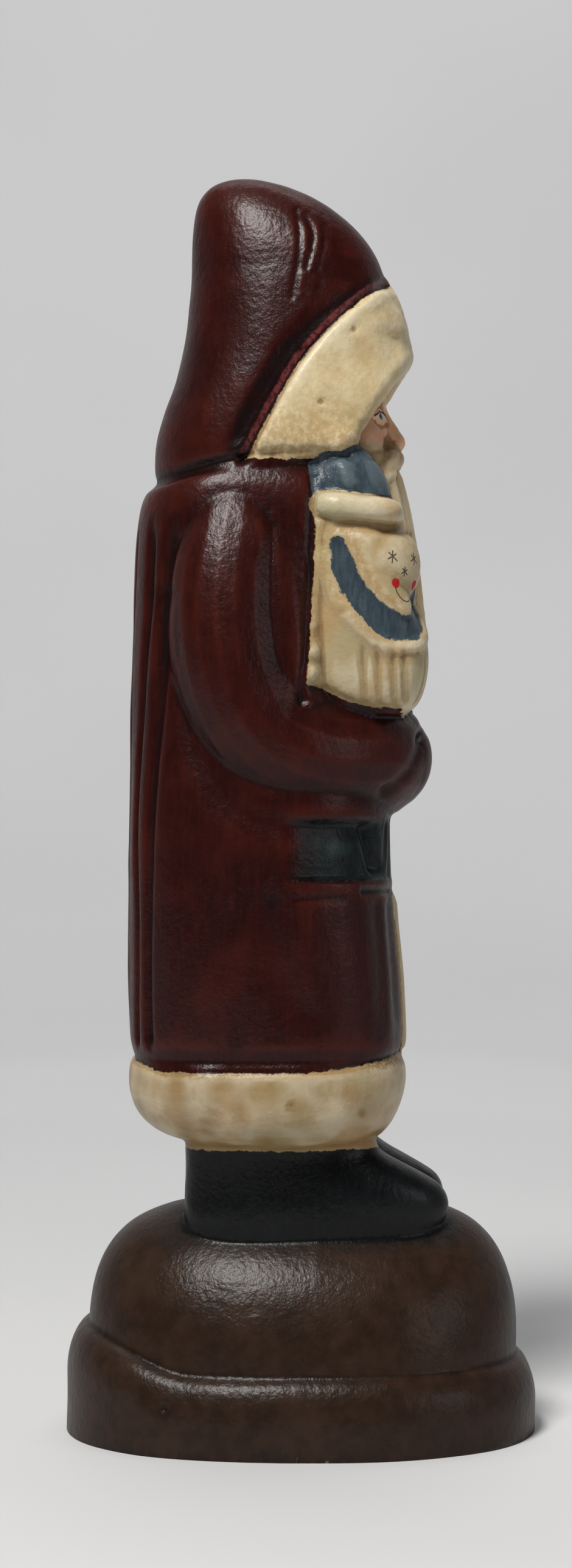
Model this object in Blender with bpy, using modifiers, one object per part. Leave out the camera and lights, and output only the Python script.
"""A hooded Father Christmas figurine holding a doll, cast in one piece with its domed base.

Metres, +Z up. The figure faces -Y, its right side is -X, and the origin is the centre of the
underside. Each form is a closed body: level rings, a tapered tube or a ball. All of them are fused
into one skin, which is softened, carved, brought down to a modest number of facets and cut flat.

Places on the figure are written in steps as (across, ahead, level). A step is 1 mm when the driving
dimensions have the values below, and level 0 is where the soles stand.
"""

import math

import bmesh
import bpy
import numpy as np
from mathutils import Matrix, Vector

MM = 0.001

# Driving dimensions of the base
BASE_LENGTH = 95.6 * MM
BASE_WIDTH = 74.4 * MM
BASE_HEIGHT = 47.0 * MM
FLANGE_HEIGHT = 15.5 * MM
FLANGE_STEP = 4.0 * MM
FLANGE_LIFT_AT_BACK = 6.5 * MM
FLANGE_EDGE_INSET = 4.8 * MM
FLANGE_EDGE_FALL = 10.0 * MM
DOME_FOOT = 12.0 * MM
BASE_SQUARENESS = 2.35
DOME_SHOULDER_AHEAD = 3.5
DOME_SHOULDER_ACROSS = 2.15

# Driving dimensions of the figure
FIGURE_HEIGHT = 214.2 * MM
COAT_WIDTH = 57.0 * MM
COAT_DEPTH = 56.4 * MM
BOOT_SINK = 7.0 * MM

# Casting and facets
FUSE_STEP = 0.75 * MM
SOFTENING = 3
FACETS = 9400
RING_POINTS = 72
RING_STEP = 1.5 * MM

# Steps of the figure's grid
STEP_ACROSS = COAT_WIDTH / 57.0
STEP_AHEAD = COAT_DEPTH / 56.4
STEP_UP = FIGURE_HEIGHT / 214.2
SOLE_LEVEL = BASE_HEIGHT - BOOT_SINK

# Level rings of the forms, as (level, rearmost, foremost, half width)
COAT_RINGS = [
    (18.8, -22.5, 13.0, 20.5),
    (20.0, -27.2, 16.0, 24.2),
    (22.0, -30.9, 18.3, 26.6),
    (24.2, -33.0, 19.8, 27.8),
    (26.8, -34.5, 20.7, 28.5),
    (30.0, -35.2, 21.2, 28.8),
    (34.0, -35.0, 21.1, 28.6),
    (36.2, -34.1, 20.2, 27.4),
    (39.0, -34.9, 20.6, 28.0),
    (50.0, -35.2, 20.2, 28.2),
    (64.0, -35.3, 19.0, 28.2),
    (79.0, -35.2, 18.4, 27.8),
    (92.0, -35.0, 18.4, 26.8),
    (106.0, -34.7, 18.4, 25.0),
    (119.0, -34.3, 18.2, 24.0),
    (136.0, -33.8, 17.6, 23.4),
    (143.0, -33.3, 17.0, 23.2),
    (148.0, -32.4, 15.5, 22.8),
    (151.5, -30.6, 13.5, 21.8),
    (154.5, -27.0, 10.5, 19.6),
    (156.5, -22.0, 6.0, 15.0),
]
HOOD_RINGS = [
    (146.0, -28.0, 8.0, 18.5),
    (152.5, -29.7, 10.0, 20.6),
    (157.0, -29.9, 11.0, 21.2),
    (161.0, -29.5, 11.6, 21.1),
    (167.0, -27.8, 12.6, 20.7),
    (172.0, -26.0, 15.0, 20.3),
    (177.0, -24.8, 19.0, 19.8),
    (181.5, -23.9, 21.9, 19.3),
    (184.5, -23.4, 21.5, 18.8),
    (188.5, -22.9, 19.8, 18.0),
    (191.8, -22.5, 18.2, 17.3),
    (194.5, -22.3, 17.2, 16.6),
    (198.5, -22.2, 15.6, 15.7),
    (202.8, -22.0, 12.7, 14.2),
    (207.2, -21.5, 8.0, 12.1),
    (210.2, -20.5, 3.3, 10.0),
    (212.4, -18.6, -2.0, 7.6),
    (213.6, -16.4, -6.6, 5.0),
    (214.3, -13.4, -10.2, 1.6),
]
BEARD_RINGS = [
    (104.0, 14.0, 21.0, 3.0),
    (106.5, 12.0, 22.6, 5.0),
    (111.0, 10.0, 24.8, 7.2),
    (117.0, 8.0, 25.7, 9.0),
    (124.0, 7.0, 25.2, 10.6),
    (132.0, 6.0, 24.1, 11.8),
    (140.0, 5.0, 23.2, 12.4),
    (147.0, 4.0, 22.0, 12.6),
    (153.0, 3.0, 20.6, 12.4),
    (158.0, 2.0, 18.8, 11.8),
    (163.0, 1.0, 15.6, 11.4),
]
BUNDLE_RINGS = [
    (104.5, 3.4, 20.5, 9.0),
    (107.0, 1.0, 23.4, 11.8),
    (112.0, 0.0, 25.0, 13.2),
    (118.0, 0.6, 25.2, 13.6),
    (124.0, 1.0, 23.8, 13.6),
    (130.0, 1.5, 20.8, 13.0),
    (137.0, 1.8, 18.6, 12.4),
    (144.0, 2.2, 16.8, 11.4),
]
DOLL_HAT_RINGS = [
    (143.0, 1.6, 18.6, 8.0),
    (148.0, 1.0, 17.8, 8.0),
    (152.5, 1.4, 16.2, 7.2),
    (156.0, 2.6, 13.8, 5.6),
    (158.6, 4.6, 11.4, 3.2),
    (159.6, 6.6, 9.6, 1.0),
]
BOOT_RINGS = [
    (-4.0, -22.0, 25.0, 9.2),
    (0.5, -22.9, 27.4, 10.2),
    (4.0, -23.4, 29.3, 10.6),
    (7.0, -23.5, 29.7, 10.6),
    (9.8, -23.5, 28.4, 10.4),
    (12.0, -23.4, 25.4, 10.2),
    (14.4, -23.4, 21.0, 10.0),
    (16.6, -23.4, 17.0, 10.0),
    (18.6, -23.4, 15.2, 10.2),
    (25.0, -23.4, 14.8, 10.6),
]

COAT_SQUARENESS = 2.6
HOOD_SQUARENESS = 2.25
BEARD_SQUARENESS = 2.2
BUNDLE_SQUARENESS = 3.4
HAT_SQUARENESS = 2.8
BRIM_SQUARENESS = 4.0
BOOT_SQUARENESS = 2.5
BEARD_SIDE = 1.5
BUNDLE_SIDE = -11.2
HAT_SIDE = -13.2
BOOT_SIDE = 10.8
BOOT_TURN = 4.0

# Tapered tubes, as (across, ahead, level, radius)
ARM = [
    (11.2, -12.6, 147.5, 9.8),
    (14.9, -13.2, 140.5, 10.9),
    (17.0, -14.4, 132.0, 11.9),
    (18.0, -14.6, 121.0, 12.7),
    (18.4, -12.4, 110.0, 12.8),
    (17.8, -7.3, 100.8, 12.9),
    (15.2, 1.0, 97.2, 13.4),
    (10.6, 8.4, 96.8, 13.0),
    (4.2, 13.2, 96.2, 12.7),
    (-2.5, 14.6, 96.4, 12.3),
]
SLEEVE_FRONT = [
    (10.6, -4.6, 146.5, 9.6),
    (13.6, -5.4, 138.0, 10.4),
    (15.6, -5.6, 127.0, 11.0),
    (16.2, -4.8, 116.0, 11.4),
    (15.6, -2.6, 106.0, 11.0),
]
FUR_RIM = [
    (0.0, 19.2, 178.0, 3.9),
    (7.6, 17.9, 176.2, 3.8),
    (12.6, 15.0, 171.6, 3.6),
    (15.2, 11.6, 166.4, 3.3),
    (16.6, 8.8, 161.8, 3.0),
    (17.4, 6.6, 158.6, 2.6),
]
FUR_PROUD = 0.9
FUR_STRANDS = 7
NOSE = [(0.0, 16.0, 168.0, 1.4), (0.0, 17.8, 164.4, 1.8), (0.0, 19.2, 161.0, 2.3)]
BROW = [(2.4, 16.9, 169.4, 1.1), (6.0, 15.8, 170.2, 1.4), (9.4, 13.2, 168.4, 1.0)]
LIPS = [(-2.6, 17.6, 154.4, 0.9), (0.0, 18.4, 154.6, 1.2), (2.6, 17.6, 154.4, 0.9)]
MOUSTACHE = [(0.8, 18.6, 157.6, 2.0), (4.4, 18.4, 156.4, 2.5), (8.6, 16.6, 153.0, 1.7)]
DOLL_BRIM_CENTRE = (-13.4, 10.6, 145.4)
DOLL_BRIM_RADII = (8.4, 7.0)
DOLL_BRIM_THICKNESS = 2.8
DOLL_BRIM_DIP = 0.8

# Balls, as centre and half axes in steps
FACE_BALL = ((0.0, 4.6, 164.5), (12.8, 13.4, 14.6))
CHEEK_BALL = ((6.8, 12.6, 160.6), (4.6, 4.4, 4.4))
EYE_BALL = ((5.0, 14.9, 165.4), (2.4, 2.4, 2.0))
DOLL_HEAD_BALL = ((-13.6, 13.2, 133.4), (10.2, 10.6, 11.8))

# Lines carved in the skin. In a side view a place is (ahead, level), in front and back (across, level)
FUR_GROOVE = [(17.9, 192.9), (8.7, 185.3), (0.0, 175.9), (-6.2, 165.5), (-10.8, 156.6), (-11.8, 155.2)]
HOOD_EDGE = [(-34.0, 151.0), (-26.0, 152.6), (-11.5, 155.6), (2.0, 156.4), (9.0, 156.0)]
ARM_FRONT_FOLD = [(-7.2, 141.0), (-3.4, 131.0), (-1.8, 121.0), (-1.6, 111.0)]
ARM_BACK_FOLD = [
    (-27.0, 128.0),
    (-25.6, 117.0),
    (-23.6, 107.0),
    (-19.6, 96.0),
    (-14.0, 87.5),
    (-6.0, 83.0),
    (12.0, 82.2),
]
FOREARM_TOP = [(-1.6, 110.6), (1.5, 110.3), (4.1, 109.6), (7.8, 107.8), (12.4, 106.3), (18.5, 105.8)]
SLEEVE_JOIN = [(23.8, 101.0), (22.4, 98.0), (18.8, 91.0)]
SASH_SLIT = [(14.2, 82.0), (15.6, 74.0)]
SIDE_VALLEY = [(-5.6, 67.0), (-5.0, 56.0), (-2.6, 49.5), (0.8, 45.5)]
LOWER_LEDGE = [(-1.0, 68.4), (8.0, 68.4)]
LEDGE_NOTCH = [(12.6, 69.7), (17.8, 69.4)]
BACK_PLEATS = (7.0, 14.5, 20.5)
HOOD_WRINKLES = [
    [(-0.9, 203.5), (-0.6, 198.0), (-1.4, 193.5)],
    [(1.6, 204.0), (1.9, 199.0), (1.0, 193.0)],
    [(4.4, 201.5), (4.2, 197.5), (3.4, 194.5)],
]
# The scarf's edges, as places round the doll's head from straight ahead of its face, and heights
SCARF_INNER = [
    (-14.2, 8.0),
    (-13.8, 6.3),
    (-11.2, 0.0),
    (-8.5, -4.2),
    (-5.3, -7.2),
    (-2.3, -8.5),
    (-0.6, -7.2),
    (1.8, -4.6),
    (4.2, -1.6),
    (6.4, 2.4),
    (8.2, 8.0),
]
SCARF_OUTER = [
    (-16.4, 8.0),
    (-15.9, 3.6),
    (-15.2, -0.6),
    (-13.2, -5.0),
    (-9.4, -10.5),
    (-6.2, -13.1),
    (-2.6, -13.4),
    (0.4, -12.6),
    (4.0, -9.8),
    (7.4, -5.6),
    (9.8, -0.6),
    (11.2, 8.0),
]
WRAP_PLEATS_SIDE = (12.0, 16.0, 20.0)
WRAP_PLEATS_FRONT = (-16.6, -12.2, -7.8, -3.6)
STRIP_HALF_WIDTH = 5.2

# Levels between which each carving fades in, is full, and fades out
SASH_SPAN = (71.4, 72.8, 82.5, 84.5)
STRIP_SPAN = (20.0, 24.0, 66.0, 70.0)
BACK_PLEAT_SPAN = (38.0, 44.0, 136.0, 146.0)
BEARD_SPAN = (103.0, 107.0, 150.0, 153.0)
WRAP_PLEAT_SPAN = (105.5, 108.5, 114.5, 120.0)
SLIT_START = (36.0, 40.0)
FACE_START = 150.0
DEEPEST_CARVING = 2.4

# Direction in which the doll looks, in degrees ahead of straight to the side, and the level of its eyes
DOLL_TURN = 52.0
DOLL_FACE_LEVEL = 132.6

# A tube's rounded ends, as a share of its radius, kept just inside its wall
END_BALL_SHARE = 0.985


def clear_scene():
    for item in list(bpy.data.objects):
        bpy.data.objects.remove(item, do_unlink=True)


def place(across, ahead, level):
    """The point of the model at a place of the figure's grid."""
    return Vector((across * STEP_ACROSS, -ahead * STEP_AHEAD, SOLE_LEVEL + level * STEP_UP))


def smooth_path(rows, spacing):
    """Rows run through by a Catmull-Rom curve, read about every spacing along their first columns."""
    rows = np.array(rows, dtype=float)
    ends = np.vstack([2 * rows[0] - rows[1], rows, 2 * rows[-1] - rows[-2]])
    out = []
    for i in range(len(rows) - 1):
        a, b, c, d = ends[i : i + 4]
        count = max(2, int(np.linalg.norm(c - b) / spacing))
        for t in np.arange(count) / count:
            bend = (2 * a - 5 * b + 4 * c - d) * t**2 + (3 * b - a - 3 * c + d) * t**3
            out.append(0.5 * (2 * b + (c - a) * t + bend))
    out.append(rows[-1])
    return np.array(out)


def ring_shape(squareness):
    """A superellipse of half axes 1, as unit pairs (across, ahead)."""
    angles = np.arange(RING_POINTS) * math.tau / RING_POINTS
    power = 2 / squareness
    across = np.sign(np.cos(angles)) * np.abs(np.cos(angles)) ** power
    ahead = np.sign(np.sin(angles)) * np.abs(np.sin(angles)) ** power
    return across, ahead


def loft(bm, rings):
    """Closed body through rings of points, each a list of vectors, lowest ring first."""
    made = [[bm.verts.new(point) for point in ring] for ring in rings]
    for low, high in zip(made, made[1:]):
        for i in range(RING_POINTS):
            j = (i + 1) % RING_POINTS
            bm.faces.new((low[j], low[i], high[i], high[j]))
    bm.faces.new(made[0])
    bm.faces.new(list(reversed(made[-1])))


def add_stack(bm, rows, squareness, side=0.0, turn=0.0):
    """Level rings of the figure, set side steps across and turned about their own middle, in degrees."""
    across, ahead = ring_shape(squareness)
    cos, sin = math.cos(math.radians(turn)), math.sin(math.radians(turn))
    rings = []
    for level, rear, fore, half in smooth_path(rows, RING_STEP / MM):
        x = half * across
        y = (fore - rear) / 2 * ahead + (fore + rear) / 2
        rings.append([place(side + a * cos + b * sin, b * cos - a * sin, level) for a, b in zip(x, y)])
    loft(bm, rings)


def add_ball(bm, centre, half_axes, side=1):
    across, ahead, level = centre
    wide, deep, tall = half_axes
    scale = Matrix.Diagonal((wide * STEP_ACROSS, deep * STEP_AHEAD, tall * STEP_UP, 1.0))
    matrix = Matrix.Translation(place(across * side, ahead, level)) @ scale
    bmesh.ops.create_uvsphere(bm, u_segments=40, v_segments=28, radius=1.0, matrix=matrix)


def add_tube(bm, rows, side=1, closed=False):
    """A tapered round tube, made as a curve with a bevel and taken over as a mesh."""
    curve = bpy.data.curves.new("tube", "CURVE")
    curve.dimensions = "3D"
    curve.bevel_depth = STEP_ACROSS
    curve.bevel_resolution = 8
    curve.use_fill_caps = not closed
    points = np.array(rows, dtype=float) if closed else smooth_path(rows, RING_STEP / MM)
    spline = curve.splines.new("POLY")
    spline.points.add(len(points) - 1)
    spline.use_cyclic_u = closed
    for point, (across, ahead, level, radius) in zip(spline.points, points):
        point.co = (*place(across * side, ahead, level), 1.0)
        point.radius = radius
    holder = bpy.data.objects.new("tube", curve)
    bpy.context.scene.collection.objects.link(holder)
    graph = bpy.context.evaluated_depsgraph_get()
    mesh = bpy.data.meshes.new_from_object(holder.evaluated_get(graph))
    own = bmesh.new()
    own.from_mesh(mesh)
    bmesh.ops.remove_doubles(own, verts=own.verts, dist=1e-6)
    if not closed:
        for across, ahead, level, radius in (points[0], points[-1]):
            add_ball(own, (across * side, ahead, level), (radius * END_BALL_SHARE,) * 3)
    own.to_mesh(mesh)
    own.free()
    bm.from_mesh(mesh)
    bpy.data.objects.remove(holder, do_unlink=True)


def half_width_at(rows, squareness, ahead, level):
    """How far out a stack of level rings reaches at a place seen from the side."""
    levels = [row[0] for row in rows]
    rear, fore, half = (np.interp(level, levels, [row[i] for row in rows]) for i in (1, 2, 3))
    share = min(abs(ahead - (rear + fore) / 2) / ((fore - rear) / 2), 1.0)
    return half * (1 - share**squareness) ** (1 / squareness)


def add_fur_band(bm, side):
    """The band of fur between the groove and the rim round the face, filled by strands that lie close."""
    count = 12
    shares = np.linspace(0.0, 1.0, count)
    groove = smooth_path(FUR_GROOVE[:-1], 1.0)
    rim = smooth_path(FUR_RIM, 1.0)
    for blend in np.linspace(0.12, 1.0, FUR_STRANDS):
        rows = []
        for share in shares:
            ahead, level = groove[round(share * (len(groove) - 1))]
            across = half_width_at(HOOD_RINGS, HOOD_SQUARENESS, ahead, level)
            across_rim, ahead_rim, level_rim, radius = rim[round(share * (len(rim) - 1))]
            inset = radius - FUR_PROUD
            out = math.hypot(across, ahead + 4.0)
            across -= inset * across / out
            ahead -= inset * (ahead + 4.0) / out
            start = np.array([across, ahead, level])
            end = np.array([across_rim, ahead_rim, level_rim])
            bulge = 0.5 * math.sin(math.pi * blend)
            middle = start + (end - start) * blend
            rows.append((*(middle + bulge * np.array([across / out, (ahead + 4.0) / out, 0.0])), radius))
        add_tube(bm, rows, side)


def brim_rows():
    """The rolled brim of the doll's hat, a squarish ring that dips a little towards the front."""
    across, ahead, level = DOLL_BRIM_CENTRE
    wide, deep = DOLL_BRIM_RADII
    turns = np.arange(48) * math.tau / 48
    power = 2 / BRIM_SQUARENESS
    rows = []
    for a, b in zip(np.cos(turns), np.sin(turns)):
        a, b = math.copysign(abs(a) ** power, a), math.copysign(abs(b) ** power, b)
        rows.append((across + wide * a, ahead + deep * b, level - DOLL_BRIM_DIP * b, DOLL_BRIM_THICKNESS))
    return rows


def flange_top(y):
    """Height of the flange, which climbs towards the back of the base."""
    back = np.clip((y / (BASE_LENGTH / 2) - 0.45) / 0.5, 0.0, 1.0)
    return FLANGE_HEIGHT + FLANGE_LIFT_AT_BACK * back * back * (3 - 2 * back)


def add_base(bm):
    """The flange, whose upper edge is rounded, and the dome that rises out of it."""
    across, ahead = ring_shape(BASE_SQUARENESS)
    half_length, half_width = BASE_LENGTH / 2, BASE_WIDTH / 2
    below = -4.0 * MM
    rings = [[Vector((half_width * a, half_length * b, below)) for a, b in zip(across, ahead)]]
    for turn in np.linspace(0.0, math.pi / 2, 9):
        inset = FLANGE_EDGE_INSET * (1 - math.cos(turn))
        ring = []
        for a, b in zip(across, ahead):
            y = (half_length - inset) * b
            rise = flange_top(y) - FLANGE_EDGE_FALL * (1 - math.sin(turn))
            ring.append(Vector(((half_width - inset) * a, y, rise)))
        rings.append(ring)
    loft(bm, rings)
    dome_length = half_length - FLANGE_STEP
    dome_width = half_width - FLANGE_STEP
    rings = []
    for share in np.sin(np.linspace(0.0, math.pi / 2, 30))[:-1]:
        long = (1 - share**DOME_SHOULDER_AHEAD) ** (1 / DOME_SHOULDER_AHEAD)
        wide = (1 - share**DOME_SHOULDER_ACROSS) ** (1 / DOME_SHOULDER_ACROSS)
        height = DOME_FOOT + (BASE_HEIGHT - DOME_FOOT) * share
        half_axes = (dome_width * wide, dome_length * long)
        rings.append([Vector((half_axes[0] * a, half_axes[1] * b, height)) for a, b in zip(across, ahead)])
    loft(bm, rings)


def figure_mesh():
    """All the forms in one mesh, still overlapping."""
    bm = bmesh.new()
    add_base(bm)
    add_stack(bm, COAT_RINGS, COAT_SQUARENESS)
    add_stack(bm, HOOD_RINGS, HOOD_SQUARENESS)
    add_stack(bm, BEARD_RINGS, BEARD_SQUARENESS, BEARD_SIDE)
    add_stack(bm, BUNDLE_RINGS, BUNDLE_SQUARENESS, BUNDLE_SIDE)
    add_stack(bm, DOLL_HAT_RINGS, HAT_SQUARENESS, HAT_SIDE)
    add_ball(bm, *FACE_BALL)
    add_ball(bm, *DOLL_HEAD_BALL)
    add_tube(bm, NOSE)
    add_tube(bm, LIPS)
    add_tube(bm, brim_rows(), closed=True)
    for side in (-1, 1):
        add_stack(bm, BOOT_RINGS, BOOT_SQUARENESS, BOOT_SIDE * side, -BOOT_TURN * side)
        add_tube(bm, ARM, side)
        add_tube(bm, SLEEVE_FRONT, side)
        add_fur_band(bm, side)
        add_tube(bm, BROW, side)
        add_tube(bm, MOUSTACHE, side)
        add_ball(bm, *CHEEK_BALL, side)
        add_ball(bm, *EYE_BALL, side)
    mesh = bpy.data.meshes.new("forms")
    bm.to_mesh(mesh)
    bm.free()
    return mesh


def with_modifier(mesh, kind, **settings):
    """The mesh after one modifier."""
    holder = bpy.data.objects.new("holder", mesh)
    bpy.context.scene.collection.objects.link(holder)
    modifier = holder.modifiers.new(kind.title(), kind)
    for name, value in settings.items():
        setattr(modifier, name, value)
    graph = bpy.context.evaluated_depsgraph_get()
    made = bpy.data.meshes.new_from_object(holder.evaluated_get(graph))
    bpy.data.objects.remove(holder, do_unlink=True)
    return made


class Skin:
    """Points and normals of the fused mesh, in steps of the figure's grid, and what carves them."""

    def __init__(self, mesh):
        self.mesh = mesh
        count = len(mesh.vertices)
        flat = np.empty(count * 3)
        mesh.vertices.foreach_get("co", flat)
        points = flat.reshape(-1, 3).copy()
        mesh.vertex_normals.foreach_get("vector", flat)
        self.normals = flat.reshape(-1, 3).copy()
        self.points = points
        self.across = points[:, 0] / STEP_ACROSS
        self.ahead = -points[:, 1] / STEP_AHEAD
        self.level = (points[:, 2] - SOLE_LEVEL) / STEP_UP
        self.push = np.zeros(count)

    def facing(self, view):
        """How far a point faces a view, from 0 to 1."""
        x, y = self.normals[:, 0], self.normals[:, 1]
        facing = {"right": -x, "left": x, "front": -y, "back": y, "sides": np.abs(x)}[view]
        return np.clip(facing * 3.0 + 0.4, 0.0, 1.0)

    def flat_place(self, view):
        side_on = view in ("right", "left", "sides")
        return self.ahead if side_on else self.across, self.level

    def distance(self, view, line):
        """Distance of every point from a line drawn in a view, in steps."""
        return np.abs(signed_distance(*self.flat_place(view), line))

    def crease(self, view, line, width, depth):
        """Presses a soft groove along a line."""
        fall = np.exp(-((self.distance(view, line) / width) ** 2))
        self.push -= depth * fall * self.facing(view)

    def sink(self, weight, depth):
        self.push -= depth * weight

    def finish(self):
        push = np.maximum(self.push, -DEEPEST_CARVING)
        moved = self.points + self.normals * (push * MM)[:, None]
        self.mesh.vertices.foreach_set("co", moved.ravel())
        self.mesh.update()


def rise(value, start, end):
    """0 up to start, 1 from end on, smooth between."""
    share = np.clip((value - start) / (end - start), 0.0, 1.0)
    return share * share * (3 - 2 * share)


def signed_distance(u, v, line):
    """Distance of flat places from a line, positive on its left."""
    line = smooth_path(line, 2.0)
    best = np.full(len(u), 1e9)
    side = np.ones(len(u))
    for (au, av), (bu, bv) in zip(line, line[1:]):
        du, dv = bu - au, bv - av
        share = np.clip(((u - au) * du + (v - av) * dv) / (du * du + dv * dv + 1e-9), 0.0, 1.0)
        gap = np.hypot(u - au - share * du, v - av - share * dv)
        nearer = gap < best
        best = np.where(nearer, gap, best)
        side = np.where(nearer, np.sign(du * (v - av) - dv * (u - au)), side)
    return best * side


def between(value, span):
    """0 outside a span of four values, 1 in its middle, smooth on the way."""
    return rise(value, span[0], span[1]) * (1 - rise(value, span[2], span[3]))


def carve_hood(skin):
    skin.crease("sides", FUR_GROOVE, 1.4, 1.2)
    skin.crease("sides", HOOD_EDGE, 1.3, 0.9)
    for line in HOOD_WRINKLES:
        skin.crease("sides", line, 1.5, 0.5)


def carve_face(skin):
    """A hollow round each eye."""
    centre, half_axes = EYE_BALL
    turns = np.linspace(0.0, math.tau, 13)
    for side in (-1, 1):
        wide, _, tall = half_axes
        ring = [(side * centre[0] + wide * math.cos(t), centre[2] + tall * math.sin(t)) for t in turns]
        near = (skin.ahead > centre[1] / 2) & (skin.level > FACE_START)
        fall = np.exp(-((skin.distance("front", ring) / 0.8) ** 2)) * near
        skin.sink(fall * skin.facing("front"), 0.8)


def carve_arms(skin):
    skin.crease("sides", ARM_FRONT_FOLD, 1.8, 0.5)
    skin.crease("sides", ARM_BACK_FOLD, 2.6, 0.5)
    skin.crease("sides", FOREARM_TOP, 1.3, 0.6)
    skin.crease("right", SLEEVE_JOIN, 1.3, 0.9)


def carve_coat(skin):
    """The sash under the sleeves, the folds, the strip down the front and the pleats behind."""
    sash = between(skin.level, SASH_SPAN) * rise(skin.ahead, -5.0, 5.0)
    skin.sink(sash * (1 - 0.8 * rise(skin.ahead, 12.0, 17.0)), 2.0)
    skin.crease("sides", SASH_SLIT, 0.9, 1.2)
    skin.crease("sides", LOWER_LEDGE, 1.0, 0.3)
    skin.crease("sides", LEDGE_NOTCH, 1.0, 0.7)
    skin.crease("sides", SIDE_VALLEY, 3.0, 0.6)
    in_front = skin.facing("front") * between(skin.level, STRIP_SPAN)
    across = np.abs(skin.across)
    strip = 1 - rise(across, STRIP_HALF_WIDTH, STRIP_HALF_WIDTH + 1.0)
    skin.sink(in_front * strip * rise(skin.ahead, 8.0, 12.0), -0.8)
    slit = np.exp(-(((across - STRIP_HALF_WIDTH - 1.2) / 0.9) ** 2))
    skin.sink(in_front * slit * rise(skin.level, *SLIT_START) * rise(skin.ahead, 8.0, 12.0), 1.0)
    behind = skin.facing("back") * between(skin.level, BACK_PLEAT_SPAN)
    for pleat in BACK_PLEATS:
        skin.sink(behind * np.exp(-(((across - pleat) / 1.2) ** 2)) * (skin.ahead < -10), 1.2)


def carve_beard(skin):
    """Locks that run down the beard and spread a little."""
    spread = 0.62 + 0.012 * (skin.level - BEARD_SPAN[0])
    locks = np.cos((skin.across - BEARD_SIDE) / spread + 0.9 * np.sin(skin.level * 0.22))
    here = between(skin.level, BEARD_SPAN) * rise(skin.ahead, 17.0, 20.0)
    here = here * rise(skin.across, -1.0, 1.0) * (1 - rise(skin.across, 13.0, 15.0)) * skin.facing("front")
    skin.sink(here * locks, 0.45)


def carve_doll(skin):
    """The scarf's hollow round the doll's face, the lip under it and the pleats of the wrap."""
    centre, half_axes = DOLL_HEAD_BALL
    turn = math.radians(DOLL_TURN)
    a, b = skin.across - centre[0], skin.ahead - centre[1]
    out = b * math.sin(turn) - a * math.cos(turn)
    q = half_axes[0] * np.arctan2(a * math.sin(turn) + b * math.cos(turn), out)
    v = skin.level - DOLL_FACE_LEVEL
    near = (np.hypot(a, b) < 16.5) * (out > 0.0) * (skin.across < -1.0) * (np.abs(v) < 20.0)
    inner = signed_distance(q, v, SCARF_INNER)
    outer = signed_distance(q, v, SCARF_OUTER)
    hollow = rise(-inner, -0.6, 1.0) * rise(outer, -0.6, 1.0) * (1 - rise(v, 5.0, 8.0))
    skin.sink(near * hollow, 0.8)
    lip = np.exp(-(((outer + 1.7) / 1.4) ** 2)) * (1 - rise(v, 2.0, 6.0))
    skin.sink(near * lip, -0.6)
    low = between(skin.level, WRAP_PLEAT_SPAN)
    for pleat in WRAP_PLEATS_SIDE:
        skin.sink(low * np.exp(-(((skin.ahead - pleat) / 0.9) ** 2)) * (skin.across < -16.0), 0.5)
    for pleat in WRAP_PLEATS_FRONT:
        skin.sink(low * np.exp(-(((skin.across - pleat) / 0.9) ** 2)) * (skin.ahead > 21.0), 0.5)


def material():
    made = bpy.data.materials.new("painted_plaster")
    made.use_nodes = True
    shader = made.node_tree.nodes["Principled BSDF"]
    shader.inputs["Base Color"].default_value = (0.075, 0.012, 0.010, 1.0)
    shader.inputs["Roughness"].default_value = 0.35
    shader.inputs["Metallic"].default_value = 0.0
    return made


def cut_flat(mesh):
    """Takes off what lies below the underside and closes the cut with one flat face."""
    bm = bmesh.new()
    bm.from_mesh(mesh)
    everything = list(bm.verts) + list(bm.edges) + list(bm.faces)
    plane = {"plane_co": (0, 0, 0), "plane_no": (0, 0, 1)}
    bmesh.ops.bisect_plane(bm, geom=everything, dist=1e-7, clear_inner=True, **plane)
    bmesh.ops.holes_fill(bm, edges=[edge for edge in bm.edges if edge.is_boundary], sides=0)
    bmesh.ops.triangulate(bm, faces=bm.faces)
    bmesh.ops.recalc_face_normals(bm, faces=bm.faces)
    bm.to_mesh(mesh)
    bm.free()


def make_figurine():
    mesh = with_modifier(figure_mesh(), "REMESH", mode="VOXEL", voxel_size=FUSE_STEP, adaptivity=0.0)
    mesh = with_modifier(mesh, "SMOOTH", factor=0.5, iterations=SOFTENING)
    skin = Skin(mesh)
    carve_hood(skin)
    carve_face(skin)
    carve_arms(skin)
    carve_coat(skin)
    carve_beard(skin)
    carve_doll(skin)
    skin.finish()
    mesh = with_modifier(mesh, "TRIANGULATE")
    mesh = with_modifier(mesh, "DECIMATE", ratio=FACETS / len(mesh.polygons))
    cut_flat(mesh)
    mesh.shade_smooth()
    mesh.name = "santa_figurine"
    figurine = bpy.data.objects.new("santa_figurine", mesh)
    figurine.data.materials.append(material())
    return figurine


def main():
    clear_scene()
    parts = bpy.data.collections.new("santa_figurine")
    bpy.context.scene.collection.children.link(parts)
    parts.objects.link(make_figurine())


main()
